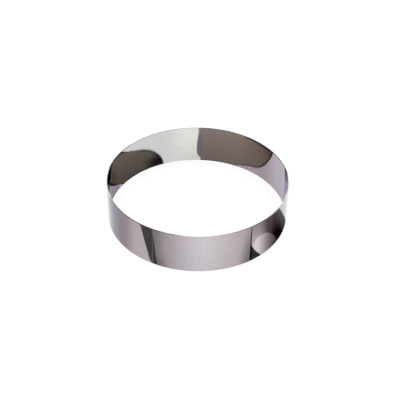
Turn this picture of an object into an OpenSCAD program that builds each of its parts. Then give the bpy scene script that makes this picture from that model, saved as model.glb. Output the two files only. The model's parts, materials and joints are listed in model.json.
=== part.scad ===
// Pastry ring: a band of polished stainless steel, open at the top and at the bottom.
// The origin is at the centre of the bottom rim, with +Z up through the ring.

/* [Ring] */
// Inside diameter, which is the size of the cake
inside_d = 190; // [60:1:320]
// Height of the band
band_h = 45; // [15:1:120]

/* [Sheet] */
// Thickness of the steel sheet
wall = 1; // [0.6:0.1:3]
// Radius of the deburred edges
edge_r = 0.2; // [0.05:0.05:0.25]

/* [Hidden] */

// Radius of the inside wall
inside_r = inside_d / 2;
// Facets of a full turn in the preview
turn_fn = 240;
// Facets of a deburred edge in the preview
edge_fn = 24;

// Section of the band: upright sheet with its four edges deburred, standing on y = 0
module band_section(thickness, height, edge) {
  translate([edge, 0])
    square([thickness - 2 * edge, height]);
  translate([0, edge])
    square([thickness, height - 2 * edge]);
  for (x = [edge, thickness - edge], y = [edge, height - edge])
    translate([x, y])
      circle(r = edge, $fn = edge_fn);
}

// The sheet rolled round into a full band, its welded joint ground flush
module ring() {
  color([0.77, 0.76, 0.77])
    rotate_extrude($fn = turn_fn)
      translate([inside_r, 0])
        band_section(wall, band_h, edge_r);
}

ring();
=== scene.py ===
import json
import math

import bpy
from mathutils import Matrix, Vector

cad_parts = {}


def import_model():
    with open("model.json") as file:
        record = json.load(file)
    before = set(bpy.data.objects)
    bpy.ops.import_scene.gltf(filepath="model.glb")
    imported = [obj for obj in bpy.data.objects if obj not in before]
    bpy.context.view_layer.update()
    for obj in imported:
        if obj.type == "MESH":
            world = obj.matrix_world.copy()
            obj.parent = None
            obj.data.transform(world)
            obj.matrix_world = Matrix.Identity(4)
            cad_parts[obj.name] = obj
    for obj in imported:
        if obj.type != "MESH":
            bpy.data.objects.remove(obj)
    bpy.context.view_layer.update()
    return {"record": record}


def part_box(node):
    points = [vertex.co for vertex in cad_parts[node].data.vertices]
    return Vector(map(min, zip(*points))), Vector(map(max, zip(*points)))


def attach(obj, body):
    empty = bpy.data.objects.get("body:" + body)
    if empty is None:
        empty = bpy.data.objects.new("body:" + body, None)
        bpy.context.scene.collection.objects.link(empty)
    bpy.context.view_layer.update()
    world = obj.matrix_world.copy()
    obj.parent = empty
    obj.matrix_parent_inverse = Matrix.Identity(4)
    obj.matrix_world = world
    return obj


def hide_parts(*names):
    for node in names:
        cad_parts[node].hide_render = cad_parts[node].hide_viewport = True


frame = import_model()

# A pastry ring of polished steel on a white floor, among cards that only the steel mirrors

MM = 0.001

# The ring's sizes, all taken from the frame
TOP_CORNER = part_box("ring")[1]
INSIDE = next(m for m in frame["record"]["mounts"] if m["name"] == "inside_wall")
OUTER_R = TOP_CORNER.x
INNER_R = INSIDE["dims"]["r_mm"] * MM
BAND_H = TOP_CORNER.z
WALL = OUTER_R - INNER_R
EDGE_R = (BAND_H - INSIDE["dims"]["length_mm"] * MM) / 2

# The photograph's camera: what its picture of the ring's outline gives
PHOTO_W = 400
FOCAL_PX = 820.9
RING_CENTRE_PX = (197.5, 194.3)
CAMERA_ELEVATION = math.radians(37.75)
CAMERA_ROLL = math.radians(0.92)
CAMERA_DISTANCE = 9.14 * OUTER_R
# Any sensor width gives the same picture, because the lens follows it
SENSOR_W = 36.0

# The two levels under the ring for cards that only the metal sees
NEAR = 80 * MM
DEEP = 180 * MM
# How far each card lies above the one under it
CARD_STEP = 0.4 * MM
# Width of the floor and of the sheet under the cards, in metres
SHEET_W = 8
# Marks a place where a card's outline turns sharply
CORNER = True
# A size in metres so large that a card's height doesn't count in its fades
ANY_HEIGHT = 1000


# Small helpers

def deselect_all():
    """Object mode, with nothing selected."""
    if bpy.context.object and bpy.context.object.mode != "OBJECT":
        bpy.ops.object.mode_set(mode="OBJECT")
    bpy.ops.object.select_all(action="DESELECT")


def new_material(name):
    """An empty node material, with its nodes and its links."""
    material = bpy.data.materials.new(name)
    material.use_nodes = True
    material.node_tree.nodes.clear()
    return material, material.node_tree.nodes, material.node_tree.links


# The band

def make_band():
    """A circle of edges drawn up to a hoop, given the sheet's thickness, then deburred."""
    around = 720
    rows = 9
    near_edge = 0.6 * MM
    edge_steps = 4
    edge_angle = math.radians(60)
    smooth_angle = math.radians(40)
    deselect_all()
    bpy.ops.mesh.primitive_circle_add(vertices=around, radius=OUTER_R, fill_type="NOTHING")
    band = bpy.context.object
    band.name = "rolled_band"
    bpy.ops.object.mode_set(mode="EDIT")
    bpy.ops.mesh.select_all(action="SELECT")
    row_h = (BAND_H - 2 * near_edge) / rows
    for rise in [near_edge] + [row_h] * rows + [near_edge]:
        bpy.ops.mesh.extrude_region_move(TRANSFORM_OT_translate={"value": (0, 0, rise)})
    bpy.ops.mesh.select_all(action="SELECT")
    bpy.ops.mesh.normals_make_consistent(inside=False)
    bpy.ops.object.mode_set(mode="OBJECT")
    thicken = band.modifiers.new("sheet", "SOLIDIFY")
    thicken.thickness = WALL
    thicken.offset = -1
    thicken.use_even_offset = True
    bpy.ops.object.modifier_apply(modifier=thicken.name)
    bpy.ops.object.shade_smooth_by_angle(angle=smooth_angle)
    deburr = band.modifiers.new("deburr", "BEVEL")
    deburr.width = EDGE_R
    deburr.segments = edge_steps
    deburr.limit_method = "ANGLE"
    deburr.angle_limit = edge_angle
    deburr.harden_normals = True
    bpy.ops.object.modifier_apply(modifier=deburr.name)
    return band


# Cards: what the polished steel mirrors, laid out round the ring as in a studio. They glow, and their
# colours hold painted light and shade

def set_up_card(card, material):
    """Gives a card its material and hides it from all but the mirroring rays."""
    card.data.materials.append(material)
    card.visible_camera = False
    card.visible_diffuse = False
    card.visible_shadow = False
    card.visible_transmission = False
    card.visible_volume_scatter = False


def fade_group(name, gradient, easing):
    """A fade over a card, from 0 up to Most, in a group whose inputs each material fills in by itself."""
    group = bpy.data.node_groups.new(name, "ShaderNodeTree")
    for label in ("Origin", "Turn", "Size"):
        group.interface.new_socket(name=label, in_out="INPUT", socket_type="NodeSocketVector")
    for label in ("Full At", "Most"):
        group.interface.new_socket(name=label, in_out="INPUT", socket_type="NodeSocketFloat")
    group.interface.new_socket(name="Fade", in_out="OUTPUT", socket_type="NodeSocketFloat")
    given = group.nodes.new("NodeGroupInput")
    result = group.nodes.new("NodeGroupOutput")
    coords = group.nodes.new("ShaderNodeTexCoord")
    mapping = group.nodes.new("ShaderNodeMapping")
    mapping.vector_type = "TEXTURE"
    pattern = group.nodes.new("ShaderNodeTexGradient")
    pattern.gradient_type = gradient
    spread = group.nodes.new("ShaderNodeMapRange")
    spread.interpolation_type = easing
    group.links.new(coords.outputs["Object"], mapping.inputs["Vector"])
    group.links.new(given.outputs["Origin"], mapping.inputs["Location"])
    group.links.new(given.outputs["Turn"], mapping.inputs["Rotation"])
    group.links.new(given.outputs["Size"], mapping.inputs["Scale"])
    group.links.new(mapping.outputs["Vector"], pattern.inputs["Vector"])
    group.links.new(pattern.outputs["Fac"], spread.inputs["Value"])
    group.links.new(given.outputs["Full At"], spread.inputs["From Max"])
    group.links.new(given.outputs["Most"], spread.inputs["To Max"])
    group.links.new(spread.outputs["Result"], result.inputs["Fade"])
    return group


STRAIGHT_FADE = fade_group("straight_fade", "LINEAR", "LINEAR")
TURNING_FADE = fade_group("turning_fade", "RADIAL", "LINEAR")
SOFT_POOL = fade_group("soft_pool", "SPHERICAL", "SMOOTHSTEP")


def placed_fade(nodes, group, origin, size, turn, full_at, most=1.0):
    """One of the fades in a card's material: its origin and size are in mm."""
    fade = nodes.new("ShaderNodeGroup")
    fade.node_tree = group
    fade.inputs["Origin"].default_value = (origin[0] * MM, origin[1] * MM, 0)
    fade.inputs["Size"].default_value = (size[0] * MM, size[1] * MM, ANY_HEIGHT)
    fade.inputs["Turn"].default_value = (0, 0, turn)
    fade.inputs["Full At"].default_value = full_at
    fade.inputs["Most"].default_value = most
    return fade.outputs["Fade"]


def along(start, end):
    """A fade from one point of a card to another: its places run from 0 to 1."""
    length = math.hypot(end[0] - start[0], end[1] - start[1])
    turn = math.atan2(end[1] - start[1], end[0] - start[0])
    return (STRAIGHT_FADE, start, (length, length), turn, 1.0), 0.0, 1.0


def round_about(centre, first, last):
    """A fade that turns about a point: its places are degrees, counted against the clock from +X."""
    full_at = (last - first) / 360
    return (TURNING_FADE, centre, (1, 1), math.radians(first + 180), full_at), first, last


def faded_shade(nodes, links, fade, stops):
    """The shade that follows a fade through its stops, each a place and a colour."""
    placing, first, last = fade
    ramp = nodes.new("ShaderNodeValToRGB")
    links.new(placed_fade(nodes, *placing), ramp.inputs["Fac"])
    marks = ramp.color_ramp.elements
    while len(marks) < len(stops):
        marks.new(0.5)
    for mark, (place, colour) in zip(marks, stops):
        mark.position = (place - first) / (last - first)
        mark.color = (*colour, 1)
    return ramp.outputs["Color"]


def fill(links, shade, socket):
    """Gives a socket an even colour, or links it to what puts out a shade."""
    if isinstance(shade, tuple):
        socket.default_value = (*shade, 1)
    else:
        links.new(shade, socket)


# A pool is its centre, its reach along and across, its turn in degrees, the share of its reach that
# is full, its colour, and how much of that colour shows
def card_material(name, shades, fade=None, pools=()):
    """A card's glowing colour, even or on a fade, with soft pools of colour, painted light and painted
    shade.
    """
    material, nodes, links = new_material(name)
    material.cycles.emission_sampling = "NONE"
    out = nodes.new("ShaderNodeOutputMaterial")
    glow = nodes.new("ShaderNodeEmission")
    links.new(glow.outputs["Emission"], out.inputs["Surface"])
    shade = faded_shade(nodes, links, fade, shades) if fade else shades
    for centre, reach, turned, core, colour, most in pools:
        mask = placed_fade(nodes, SOFT_POOL, centre, reach, math.radians(turned), 1 - core, most)
        mix = nodes.new("ShaderNodeMix")
        mix.data_type = "RGBA"
        mix.inputs["B"].default_value = (*colour, 1)
        links.new(mask, mix.inputs["Factor"])
        fill(links, shade, mix.inputs["A"])
        shade = mix.outputs["Result"]
    fill(links, shade, glow.inputs["Color"])
    return material


def cut_card(name, depth, layer, outline, material):
    """A flat card cut to a smooth outline, given in mm, lying some steps above its level."""
    deselect_all()
    curve = bpy.data.curves.new(name, "CURVE")
    curve.dimensions = "2D"
    curve.fill_mode = "BOTH"
    curve.resolution_u = 8
    line = curve.splines.new("BEZIER")
    line.bezier_points.add(len(outline) - 1)
    line.use_cyclic_u = True
    for point, place in zip(line.bezier_points, outline):
        bend = "VECTOR" if len(place) == 3 else "AUTO"
        point.co = (place[0] * MM, place[1] * MM, 0)
        point.handle_left_type = bend
        point.handle_right_type = bend
    card = bpy.data.objects.new(name, curve)
    bpy.context.collection.objects.link(card)
    card.location.z = layer * CARD_STEP - depth
    card.select_set(True)
    bpy.context.view_layer.objects.active = card
    bpy.ops.object.convert(target="MESH")
    bpy.ops.object.transform_apply(location=True, rotation=False, scale=False)
    set_up_card(card, material)


def square(centre, half):
    """The outline of a square, from its centre and half its width."""
    x, y = centre
    return [(x - half, y - half, CORNER), (x + half, y - half, CORNER),
            (x + half, y + half, CORNER), (x - half, y + half, CORNER)]


def base_sheet():
    """The pale sheet under all the cards."""
    deselect_all()
    bpy.ops.mesh.primitive_plane_add(size=SHEET_W, location=(0, 0, -DEEP))
    bpy.ops.object.transform_apply(location=True, rotation=False, scale=False)
    sheet = bpy.context.object
    sheet.name = "pale_sheet"
    # Painted light: a pool brighter than white far in front. Painted shade: a greyer pool just in front of
    # the ring
    pools = [((65, -300), (225, 225), 0, 0.0, (1.02, 1.04, 0.95), 1.0),
             ((20, -120), (90, 90), 0, 0.0, (0.66, 0.66, 0.66), 0.8)]
    set_up_card(sheet, card_material("pale_sheet", (0.79, 0.80, 0.78), pools=pools))


def lavender_wall():
    """The lavender wall at the back left, mirrored by the right end of the inside wall."""
    outline = [(-400, 420, CORNER), (-400, -300, CORNER), (-60, -300, CORNER), (-45, -100), (-50, 0),
               (0, 150), (80, 165), (160, 110, CORNER), (150, 160), (90, 230), (30, 290),
               (0, 420, CORNER)]
    shades = [(0.0, (0.43, 0.36, 0.39)), (0.45, (0.45, 0.385, 0.42)), (0.75, (0.54, 0.48, 0.53)),
              (1.0, (0.58, 0.53, 0.61))]
    # Pools: a lighter patch at the back left, and painted shade at the right
    pools = [((-175, 205), (130, 120), -40, 0.0, (0.66, 0.60, 0.69), 0.6),
             ((58, 222), (112, 62), -37, 0.4, (0.31, 0.275, 0.32), 0.95)]
    cut_card("lavender_wall", DEEP, 1, outline,
             card_material("lavender_wall", shades, along((-190, 79), (-77, 260)), pools))


def leaf_edging():
    """The dark edging round the table leaf."""
    outline = [(-50, 335, CORNER), (-20, 272), (14, 257), (36, 245), (54, 233), (69, 222), (84, 210),
               (103, 191), (118, 172), (130, 145), (139, 100), (140, 10), (138, -60), (140, -82, CORNER),
               (152, -88), (164, -87), (182, -78.5), (200.5, -62), (215, -41), (229.5, -6),
               (236.5, 30.5), (236, 84), (225, 137), (203, 198, CORNER), (185, 235), (140, 300), (60, 330)]
    cut_card("leaf_edging", DEEP, 3, outline, card_material("leaf_edging", (0.008, 0.005, 0.007)))


def brown_leaf():
    """The brown table leaf within its edging, mirrored by the left end of the inside wall."""
    outline = [(-50, 335, CORNER), (-16, 276), (18, 262), (40, 250), (58, 237), (72, 225), (87, 212),
               (106, 191), (120, 172, CORNER), (137, 144), (157, 113.5), (170, 80), (177, 46), (178, 10),
               (174.5, -17), (168.5, -37), (161.5, -56), (152, -71, CORNER), (160, -75), (171, -74),
               (181.5, -67), (198, -53.5), (210, -38), (223.5, -4), (232.5, 32.5), (233, 84), (222, 136),
               (202, 186, CORNER), (172, 221), (141, 247), (106, 268), (68, 283), (20, 300)]
    shades = [(0.0, (0.14, 0.115, 0.092)), (1.0, (0.172, 0.141, 0.125))]
    pools = [((0, 40), (280, 280), 0, 0.25, (0.02, 0.012, 0.005), 1.0),
             ((166, -64), (105, 32), 70, 0.05, (0.012, 0.005, 0.010), 1.0),
             ((62, 254), (95, 40), -36, 0.1, (0.04, 0.03, 0.03), 0.6)]
    cut_card("brown_leaf", DEEP, 4, outline,
             card_material("brown_leaf", shades, along((80, 60), (248, 97)), pools))


# The right end of the table, where no edging shows
TABLE_END = [(3, -45), (2.5, -58), (1, -71), (-0.5, -84), (0, -96), (-2, -130, CORNER), (-60, -125)]


def table_edging():
    """The dark edging round the table."""
    outline = [(-88, 126, CORNER), (-82, 119), (-75, 109), (-68.5, 93.5), (-62, 77.5), (-57, 61.5),
               (-56, 48), (-55, 35), (-51, 25), (-45, 17), (-34, 15, CORNER), (0, -8, CORNER),
               (-3.5, -22), (-1, -26), (1, -31), (2.5, -37), *TABLE_END,
               (-115, -80), (-138, -10), (-132, 45), (-112, 84), (-98, 115)]
    cut_card("table_edging", NEAR, 2, outline, card_material("table_edging", (0.042, 0.024, 0.027)))


def brown_table():
    """The brown table within its edging, mirrored by the right half of the inside wall at the back."""
    outline = [(-90, 103), (-86, 109, CORNER), (-79, 102), (-71.5, 87.5), (-65, 72.5), (-59, 58.5),
               (-58, 47), (-57, 34), (-52, 24), (-44, 16, CORNER), (-40, 8), (-36, 1), (-28, -7),
               (-20, -13), (-10, -16.5), (-4, -17.5, CORNER), (-3.5, -23), (-1, -27), (1, -32),
               (2.5, -38), *TABLE_END, (-120, -90), (-125, -45), (-114, -3), (-115, 24), (-112, 50),
               (-103, 77), (-94, 95)]
    shades = [(0.0, (0.29, 0.245, 0.23)), (0.45, (0.29, 0.23, 0.20)), (0.7, (0.205, 0.158, 0.137)),
              (0.85, (0.15, 0.108, 0.092)), (1.0, (0.06, 0.035, 0.032))]
    pools = [((0, 20), (150, 150), 0, 0.0, (0.13, 0.10, 0.085), 0.75),
             ((-4, -58), (9, 60), 3, 0.2, (0.17, 0.16, 0.19), 0.9),
             ((3, -93), (11, 26), 6, 0.1, (0.42, 0.40, 0.43), 0.9)]
    cut_card("brown_table", NEAR, 3, outline,
             card_material("brown_table", shades, along((-10, -90), (-90, 115)), pools))


def left_wall():
    """The wall at the left, white at the back and lavender, then rosy, towards the front."""
    outline = [(-100, 420, CORNER), (-103, 150, CORNER), (-104, 98), (-110, 84), (-120, 68), (-130, 50),
               (-141, 20), (-141, -60), (-118, -110, CORNER), (-118, -150, CORNER), (-420, -150, CORNER),
               (-420, 420, CORNER)]
    shades = [(105, (0.97, 0.97, 1.0)), (112, (0.92, 0.92, 0.96)), (118, (0.83, 0.83, 0.88)),
              (125.5, (0.64, 0.635, 0.71)), (131, (0.56, 0.555, 0.615)), (138, (0.44, 0.43, 0.485)),
              (144.5, (0.40, 0.375, 0.44)), (158, (0.335, 0.305, 0.345)), (172.5, (0.37, 0.315, 0.35)),
              (184, (0.48, 0.42, 0.425)), (195, (0.575, 0.51, 0.51)), (210, (0.58, 0.52, 0.52))]
    cut_card("left_wall", NEAR, 0, outline,
             card_material("left_wall", shades, round_about((-65, -57), 105, 215)))


def dark_post():
    """The dark post at the front left."""
    outline = [(-300, -40, CORNER), (-216, -90), (-206, -107), (-195, -115), (-181, -119), (-164, -122),
               (-146, -125), (-129, -125), (-118, -129), (-104, -140, CORNER), (-112, -143), (-123, -147),
               (-138, -154), (-155, -159), (-170, -162), (-300, -215, CORNER)]
    shades = [(0.12, (0.05, 0.046, 0.047)), (0.25, (0.115, 0.108, 0.11)), (0.38, (0.06, 0.055, 0.056)),
              (0.6, (0.065, 0.058, 0.06))]
    pools = [((-188, -135), (45, 45), 0, 0.0, (0.09, 0.066, 0.068), 0.8)]
    cut_card("dark_post", NEAR, 5, outline,
             card_material("dark_post", shades, along((-128, -152), (-155, -113)), pools))


def front_floor():
    """The floor at the front, with a painted pool of light in its middle and painted shade at its sides
    and near the ring.
    """
    outline = [(-420, -140, CORNER), (-118, -130, CORNER), (-90, -130, CORNER), (0, -150),
               (90, -130, CORNER), (128, -98, CORNER), (160, -112, CORNER), (420, -215, CORNER),
               (420, -600, CORNER), (-420, -600, CORNER)]
    shades = [(212, (0.20, 0.175, 0.185)), (220, (0.29, 0.255, 0.27)), (230, (0.45, 0.395, 0.425)),
              (240, (0.53, 0.475, 0.51)), (250, (0.63, 0.57, 0.61)), (260, (0.70, 0.65, 0.695)),
              (270, (0.76, 0.725, 0.76)), (280, (0.79, 0.755, 0.78)), (290, (0.755, 0.71, 0.735)),
              (302, (0.72, 0.66, 0.68)), (312, (0.665, 0.60, 0.62)), (322, (0.62, 0.555, 0.575)),
              (332, (0.54, 0.48, 0.50)), (340, (0.46, 0.41, 0.43))]
    # Painted shade: pools that darken it near the ring, beside the dark post and beside the dark wedge
    pools = [((0, -55), (190, 190), 0, 0.0, (0.36, 0.33, 0.36), 0.62),
             ((-104, -142), (46, 26), -40, 0.0, (0.06, 0.055, 0.06), 0.45),
             ((134, -104), (75, 45), -20, 0.0, (0.16, 0.145, 0.155), 0.85)]
    cut_card("front_floor", NEAR, 4, outline,
             card_material("front_floor", shades, round_about((0, -55), 200, 345), pools))


def right_screen():
    """The dark screen at the right."""
    outline = [(112, 80, CORNER), (140, 75), (155, 71), (169, 65), (181, 60), (192, 53), (201, 47),
               (210, 39), (250, -10), (420, -120, CORNER), (420, -240, CORNER), (192, -124, CORNER),
               (143, -106, CORNER), (128, -100, CORNER), (138, -60), (141, 0), (136, 32), (125, 55),
               (116, 70)]
    shades = [(-30, (0.32, 0.29, 0.30)), (-19, (0.38, 0.34, 0.35)), (-11, (0.35, 0.31, 0.315)),
              (-3, (0.20, 0.17, 0.17)), (8.5, (0.092, 0.068, 0.068)), (22, (0.135, 0.121, 0.120)),
              (35, (0.122, 0.116, 0.116)), (48, (0.106, 0.102, 0.102))]
    pools = [((190, -84), (50, 28), 80, 0.1, (0.36, 0.325, 0.33), 0.7),
             ((176, -98), (50, 26), 75, 0.0, (0.56, 0.515, 0.53), 0.8),
             ((204, 1), (26, 38), -60, 0.0, (0.085, 0.058, 0.053), 0.7),
             ((130, 11), (102, 63), -13, 0.44, (0.006, 0.001, 0.003), 1.0)]
    cut_card("right_screen", NEAR, 6, outline,
             card_material("right_screen", shades, round_about((60, -60), -30, 60), pools))


def pale_disc():
    """The pale disc before the dark screen: its fade paints a lit side and a shaded side on it."""
    outline = [(140, 18, CORNER), (159, 6), (171, -3), (181, -16), (188, -32), (191, -48), (190, -64),
               (186, -79), (178, -93), (170, -101), (164, -105), (161, -104), (159, -98), (157, -89),
               (155, -79), (152, -67, CORNER), (140, -40, CORNER)]
    shades = [(-25, (0.76, 0.73, 0.69)), (-13, (0.80, 0.77, 0.73)), (-8, (0.72, 0.67, 0.66)),
              (-3, (0.59, 0.525, 0.55)), (2.5, (0.46, 0.395, 0.43)), (8.5, (0.315, 0.28, 0.30)),
              (15, (0.21, 0.185, 0.195)), (24, (0.11, 0.10, 0.105)), (35, (0.03, 0.025, 0.03))]
    cut_card("pale_disc", NEAR, 7, outline,
             card_material("pale_disc", shades, round_about((60, -60), -30, 60)))


def dark_wedge():
    """The dark wedge at the disc's foot."""
    outline = [(196, -127, CORNER), (192, -125), (184, -122), (173, -119), (165, -116), (156, -113),
               (143, -108.5), (128, -105, CORNER), (140, -60, CORNER), (152, -66, CORNER), (155, -79),
               (157, -90), (159, -99), (161, -106), (164, -110.5), (170, -112.5), (178, -115), (188, -119)]
    shades = [(0.2, (0.012, 0.009, 0.01)), (0.33, (0.04, 0.036, 0.036)), (1.0, (0.035, 0.031, 0.03))]
    cut_card("dark_wedge", NEAR, 8, outline,
             card_material("dark_wedge", shades, along((150, -107), (156, -88))))


def white_wall():
    """The white wall at the back right, mirrored by the right end of the outside wall."""
    outline = [(100, 420, CORNER), (103, 150, CORNER), (104, 98), (110, 84), (116, 70), (125, 55),
               (136, 32), (160, 30, CORNER), (420, -140, CORNER), (420, 420, CORNER)]
    shades = [(30, (0.72, 0.71, 0.73)), (45, (0.75, 0.74, 0.76)), (54, (0.77, 0.77, 0.78)),
              (58, (0.85, 0.845, 0.86)), (63, (0.87, 0.87, 0.89)), (70, (0.86, 0.87, 0.87)),
              (76, (0.92, 0.92, 0.93))]
    cut_card("white_wall", NEAR, 1, outline,
             card_material("white_wall", shades, round_about((60, -60), 20, 80)))


def end_flag(name, shades, wall_angle, lean, low):
    """A thin flag leaning on the inside wall, from low mm to the rim: its shades run from foot to top."""
    reach = 2.1 * MM
    tall = BAND_H / MM - low
    turn = math.radians(wall_angle)
    tilt = math.radians(lean)
    out = Vector((math.cos(turn), math.sin(turn), 0))
    deselect_all()
    bpy.ops.mesh.primitive_plane_add(size=1)
    flag = bpy.context.object
    flag.name = name
    flag.scale = (reach, tall * MM / math.cos(tilt), 1)
    leaning = Matrix.Rotation(turn, 4, "Z") @ Matrix.Rotation(tilt, 4, "X")
    flag.rotation_euler = (leaning @ Matrix.Rotation(math.radians(90), 4, "X")).to_euler()
    flag.location = out * (INNER_R - reach / 2) + Vector((0, 0, (low + tall / 2) * MM))
    bpy.ops.object.transform_apply(location=True, rotation=True, scale=True)
    middle = out.xy * (INNER_R / MM)
    sideways = Vector((-out.y, out.x)) * (tall / 2 * math.tan(tilt))
    set_up_card(flag, card_material(name, shades, along(middle + sideways, middle - sideways)))


def left_end_flag():
    """The flag that the left end of the inside wall mirrors."""
    shades = [(0.0, (0.20, 0.18, 0.21)), (0.2, (0.11, 0.10, 0.115)), (0.3, (0.005, 0.004, 0.005)),
              (1.0, (0.001, 0.001, 0.001))]
    end_flag("left_end_flag", shades, wall_angle=171.2, lean=29, low=18)


def right_end_flag():
    """The flag that the right end of the inside wall mirrors."""
    shades = [(0.16, (0.52, 0.48, 0.55)), (0.24, (0.35, 0.32, 0.40)), (0.5, (0.34, 0.315, 0.40)),
              (0.62, (0.20, 0.18, 0.235)), (0.79, (0.15, 0.135, 0.175)), (0.9, (0.065, 0.055, 0.075)),
              (1.0, (0.035, 0.03, 0.04))]
    end_flag("right_end_flag", shades, wall_angle=8.6, lean=-18, low=11)


def rim_highlight_ceiling():
    """The glowing ceiling behind the ring, which the flat rim mirrors as its highlights: its places are
    the angles round the rim.
    """
    height = 600
    # What the photograph's camera would see in the middle of a mirror laid on the rim
    centre = (0, 748)
    half_width = 420
    # Painted highlights and dark lines for the rim: stripes set by the angles round it, brighter than
    # white where it shines
    shades = [(170, (0.02, 0.02, 0.02)), (175, (1.4, 1.4, 1.4)), (201, (1.4, 1.4, 1.4)),
              (206, (0.4, 0.4, 0.4)), (218, (0.3, 0.3, 0.3)), (230, (0.02, 0.02, 0.02)),
              (245, (0.02, 0.02, 0.02)), (257, (0.3, 0.29, 0.3)), (264, (1.4, 1.4, 1.4)),
              (279, (1.4, 1.4, 1.4)), (284, (0.95, 0.93, 0.95)), (290, (0.8, 0.78, 0.8)),
              (297, (0.3, 0.29, 0.3)), (307, (0.05, 0.05, 0.05)), (318, (0.35, 0.34, 0.35)),
              (338, (1.4, 1.4, 1.4)), (361, (1.4, 1.4, 1.4)), (366, (0.03, 0.03, 0.03)),
              (372, (0.03, 0.03, 0.03)), (376, (0.5, 0.5, 0.5)), (379, (0.5, 0.5, 0.5)),
              (383, (0.01, 0.01, 0.01)), (446, (0.01, 0.01, 0.01)),
              (452, (0.85, 0.85, 0.85)), (500, (0.85, 0.85, 0.85)), (508, (0.01, 0.01, 0.01)),
              (530, (0.01, 0.01, 0.01))]
    cut_card("rim_highlight_ceiling", -height * MM, 0, square(centre, half_width),
             card_material("rim_highlight_ceiling", shades, round_about(centre, 170, 530)))


def dark_room():
    """The dark walls and ceiling of the room, which the rim's rounded edges mirror."""
    room_r = 1200
    ceiling_h = 700
    wall_foot = 50
    dark = card_material("dark_room", (0.03, 0.03, 0.03))
    cut_card("dark_ceiling", -ceiling_h * MM, 0, square((0, 0), room_r), dark)
    deselect_all()
    bpy.ops.mesh.primitive_cylinder_add(vertices=96, radius=room_r * MM, end_fill_type="NOTHING",
                                        depth=(ceiling_h - wall_foot) * MM,
                                        location=(0, 0, (ceiling_h + wall_foot) / 2 * MM))
    bpy.ops.object.transform_apply(location=True, rotation=False, scale=False)
    wall = bpy.context.object
    wall.name = "dark_walls"
    set_up_card(wall, dark)


# Steel

def noise(nodes, links, size, detail):
    """A smooth noise over the object whose patches have the given size in mm, along, across and up."""
    coords = nodes.new("ShaderNodeTexCoord")
    mapping = nodes.new("ShaderNodeMapping")
    mapping.inputs["Scale"].default_value = (1 / (size[0] * MM), 1 / (size[1] * MM), 1 / (size[2] * MM))
    pattern = nodes.new("ShaderNodeTexNoise")
    pattern.inputs["Scale"].default_value = 1
    pattern.inputs["Detail"].default_value = detail
    links.new(coords.outputs["Object"], mapping.inputs["Vector"])
    links.new(mapping.outputs["Vector"], pattern.inputs["Vector"])
    return pattern.outputs["Fac"]


def polished_steel():
    """Bright rolled steel: fine mottled grain, faint smudges, and a sheet that is never quite even."""
    material, nodes, links = new_material("polished_steel")
    out = nodes.new("ShaderNodeOutputMaterial")
    steel = nodes.new("ShaderNodeBsdfPrincipled")
    steel.inputs["Metallic"].default_value = 1
    tone = nodes.new("ShaderNodeValToRGB")
    tone.color_ramp.elements[0].position = 0.3
    tone.color_ramp.elements[0].color = (0.718, 0.705, 0.718, 1)
    tone.color_ramp.elements[1].position = 0.7
    tone.color_ramp.elements[1].color = (0.822, 0.815, 0.822, 1)
    grain = noise(nodes, links, size=(1.1, 1.1, 2.2), detail=1)
    links.new(grain, tone.inputs["Fac"])
    links.new(tone.outputs["Color"], steel.inputs["Base Color"])
    smudge = nodes.new("ShaderNodeMapRange")
    smudge.inputs["From Min"].default_value = 0.3
    smudge.inputs["From Max"].default_value = 0.7
    smudge.inputs["To Min"].default_value = 0.03
    smudge.inputs["To Max"].default_value = 0.05
    smudges = noise(nodes, links, size=(14, 14, 9), detail=2)
    links.new(smudges, smudge.inputs["Value"])
    links.new(smudge.outputs["Result"], steel.inputs["Roughness"])
    sway = nodes.new("ShaderNodeBump")
    sway.inputs["Distance"].default_value = 0.02 * MM
    wide_waves = noise(nodes, links, size=(30, 30, 40), detail=0)
    links.new(wide_waves, sway.inputs["Height"])
    ripple = nodes.new("ShaderNodeBump")
    ripple.inputs["Distance"].default_value = 0.003 * MM
    small_waves = noise(nodes, links, size=(6, 6, 9), detail=1)
    links.new(small_waves, ripple.inputs["Height"])
    links.new(sway.outputs["Normal"], ripple.inputs["Normal"])
    links.new(ripple.outputs["Normal"], steel.inputs["Normal"])
    links.new(steel.outputs["BSDF"], out.inputs["Surface"])
    return material


# Floor, light and camera

def mask_sum(nodes, links, first, second):
    """Two masks added, up to 1."""
    total = nodes.new("ShaderNodeMath")
    total.operation = "ADD"
    total.use_clamp = True
    links.new(first, total.inputs[0])
    links.new(second, total.inputs[1])
    return total.outputs["Value"]


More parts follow.
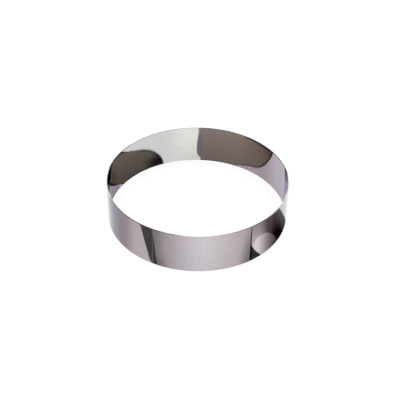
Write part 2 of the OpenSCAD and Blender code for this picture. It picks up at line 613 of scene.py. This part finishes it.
def floor_material():
    """Grey paper whose glow is seen but lights nothing, so that the background turns white."""
    paper_grey = 0.35
    glow_strength = 0.8
    material, nodes, links = new_material("floor")
    out = nodes.new("ShaderNodeOutputMaterial")
    both = nodes.new("ShaderNodeAddShader")
    paper = nodes.new("ShaderNodeBsdfDiffuse")
    paper.inputs["Color"].default_value = (paper_grey, paper_grey, paper_grey, 1)
    glow = nodes.new("ShaderNodeEmission")
    path = nodes.new("ShaderNodeLightPath")
    seen = mask_sum(nodes, links, path.outputs["Is Camera Ray"], path.outputs["Is Glossy Ray"])
    seen = mask_sum(nodes, links, seen, path.outputs["Is Transmission Ray"])
    lift = nodes.new("ShaderNodeMath")
    lift.operation = "MULTIPLY"
    lift.inputs[1].default_value = glow_strength
    links.new(seen, lift.inputs[0])
    links.new(lift.outputs["Value"], glow.inputs["Strength"])
    links.new(paper.outputs["BSDF"], both.inputs[0])
    links.new(glow.outputs["Emission"], both.inputs[1])
    links.new(both.outputs["Shader"], out.inputs["Surface"])
    return material


def floor():
    """The floor, a hair under the ring, which the steel doesn't mirror."""
    drop = 0.02 * MM
    deselect_all()
    bpy.ops.mesh.primitive_plane_add(size=SHEET_W, location=(0, 0, -drop))
    ground = bpy.context.object
    ground.name = "floor"
    ground.data.materials.append(floor_material())
    ground.visible_glossy = False


def world():
    """A plain white sky, which is the scene's light."""
    sky = bpy.data.worlds.new("studio")
    bpy.context.scene.world = sky
    sky.use_nodes = True
    background = sky.node_tree.nodes["Background"]
    background.inputs["Color"].default_value = (1, 1, 1, 1)
    background.inputs["Strength"].default_value = 1.0


def camera():
    """The photograph's camera, which looks at the middle of the ring."""
    data = bpy.data.cameras.new("photo_camera")
    cam = bpy.data.objects.new("photo_camera", data)
    bpy.context.collection.objects.link(cam)
    bpy.context.scene.camera = cam
    data.sensor_width = SENSOR_W
    data.lens = SENSOR_W * FOCAL_PX / PHOTO_W
    data.shift_x = (PHOTO_W / 2 - RING_CENTRE_PX[0]) / PHOTO_W
    data.shift_y = (RING_CENTRE_PX[1] - PHOTO_W / 2) / PHOTO_W
    centre = Vector((0, 0, BAND_H / 2))
    back = Vector((0, -math.cos(CAMERA_ELEVATION), math.sin(CAMERA_ELEVATION)))
    place = Matrix.Translation(centre + back * CAMERA_DISTANCE)
    aim = (-back).to_track_quat("-Z", "Y").to_matrix().to_4x4()
    cam.matrix_world = place @ aim @ Matrix.Rotation(CAMERA_ROLL, 4, "Z")


# The scene

camera()
world()
floor()
base_sheet()
lavender_wall()
leaf_edging()
brown_leaf()
table_edging()
brown_table()
left_wall()
white_wall()
front_floor()
dark_post()
right_screen()
pale_disc()
dark_wedge()
left_end_flag()
right_end_flag()
rim_highlight_ceiling()
dark_room()
band = make_band()
band.data.materials.append(polished_steel())
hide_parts("ring")
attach(band, "root")

bpy.context.scene.view_settings.view_transform = "Standard"
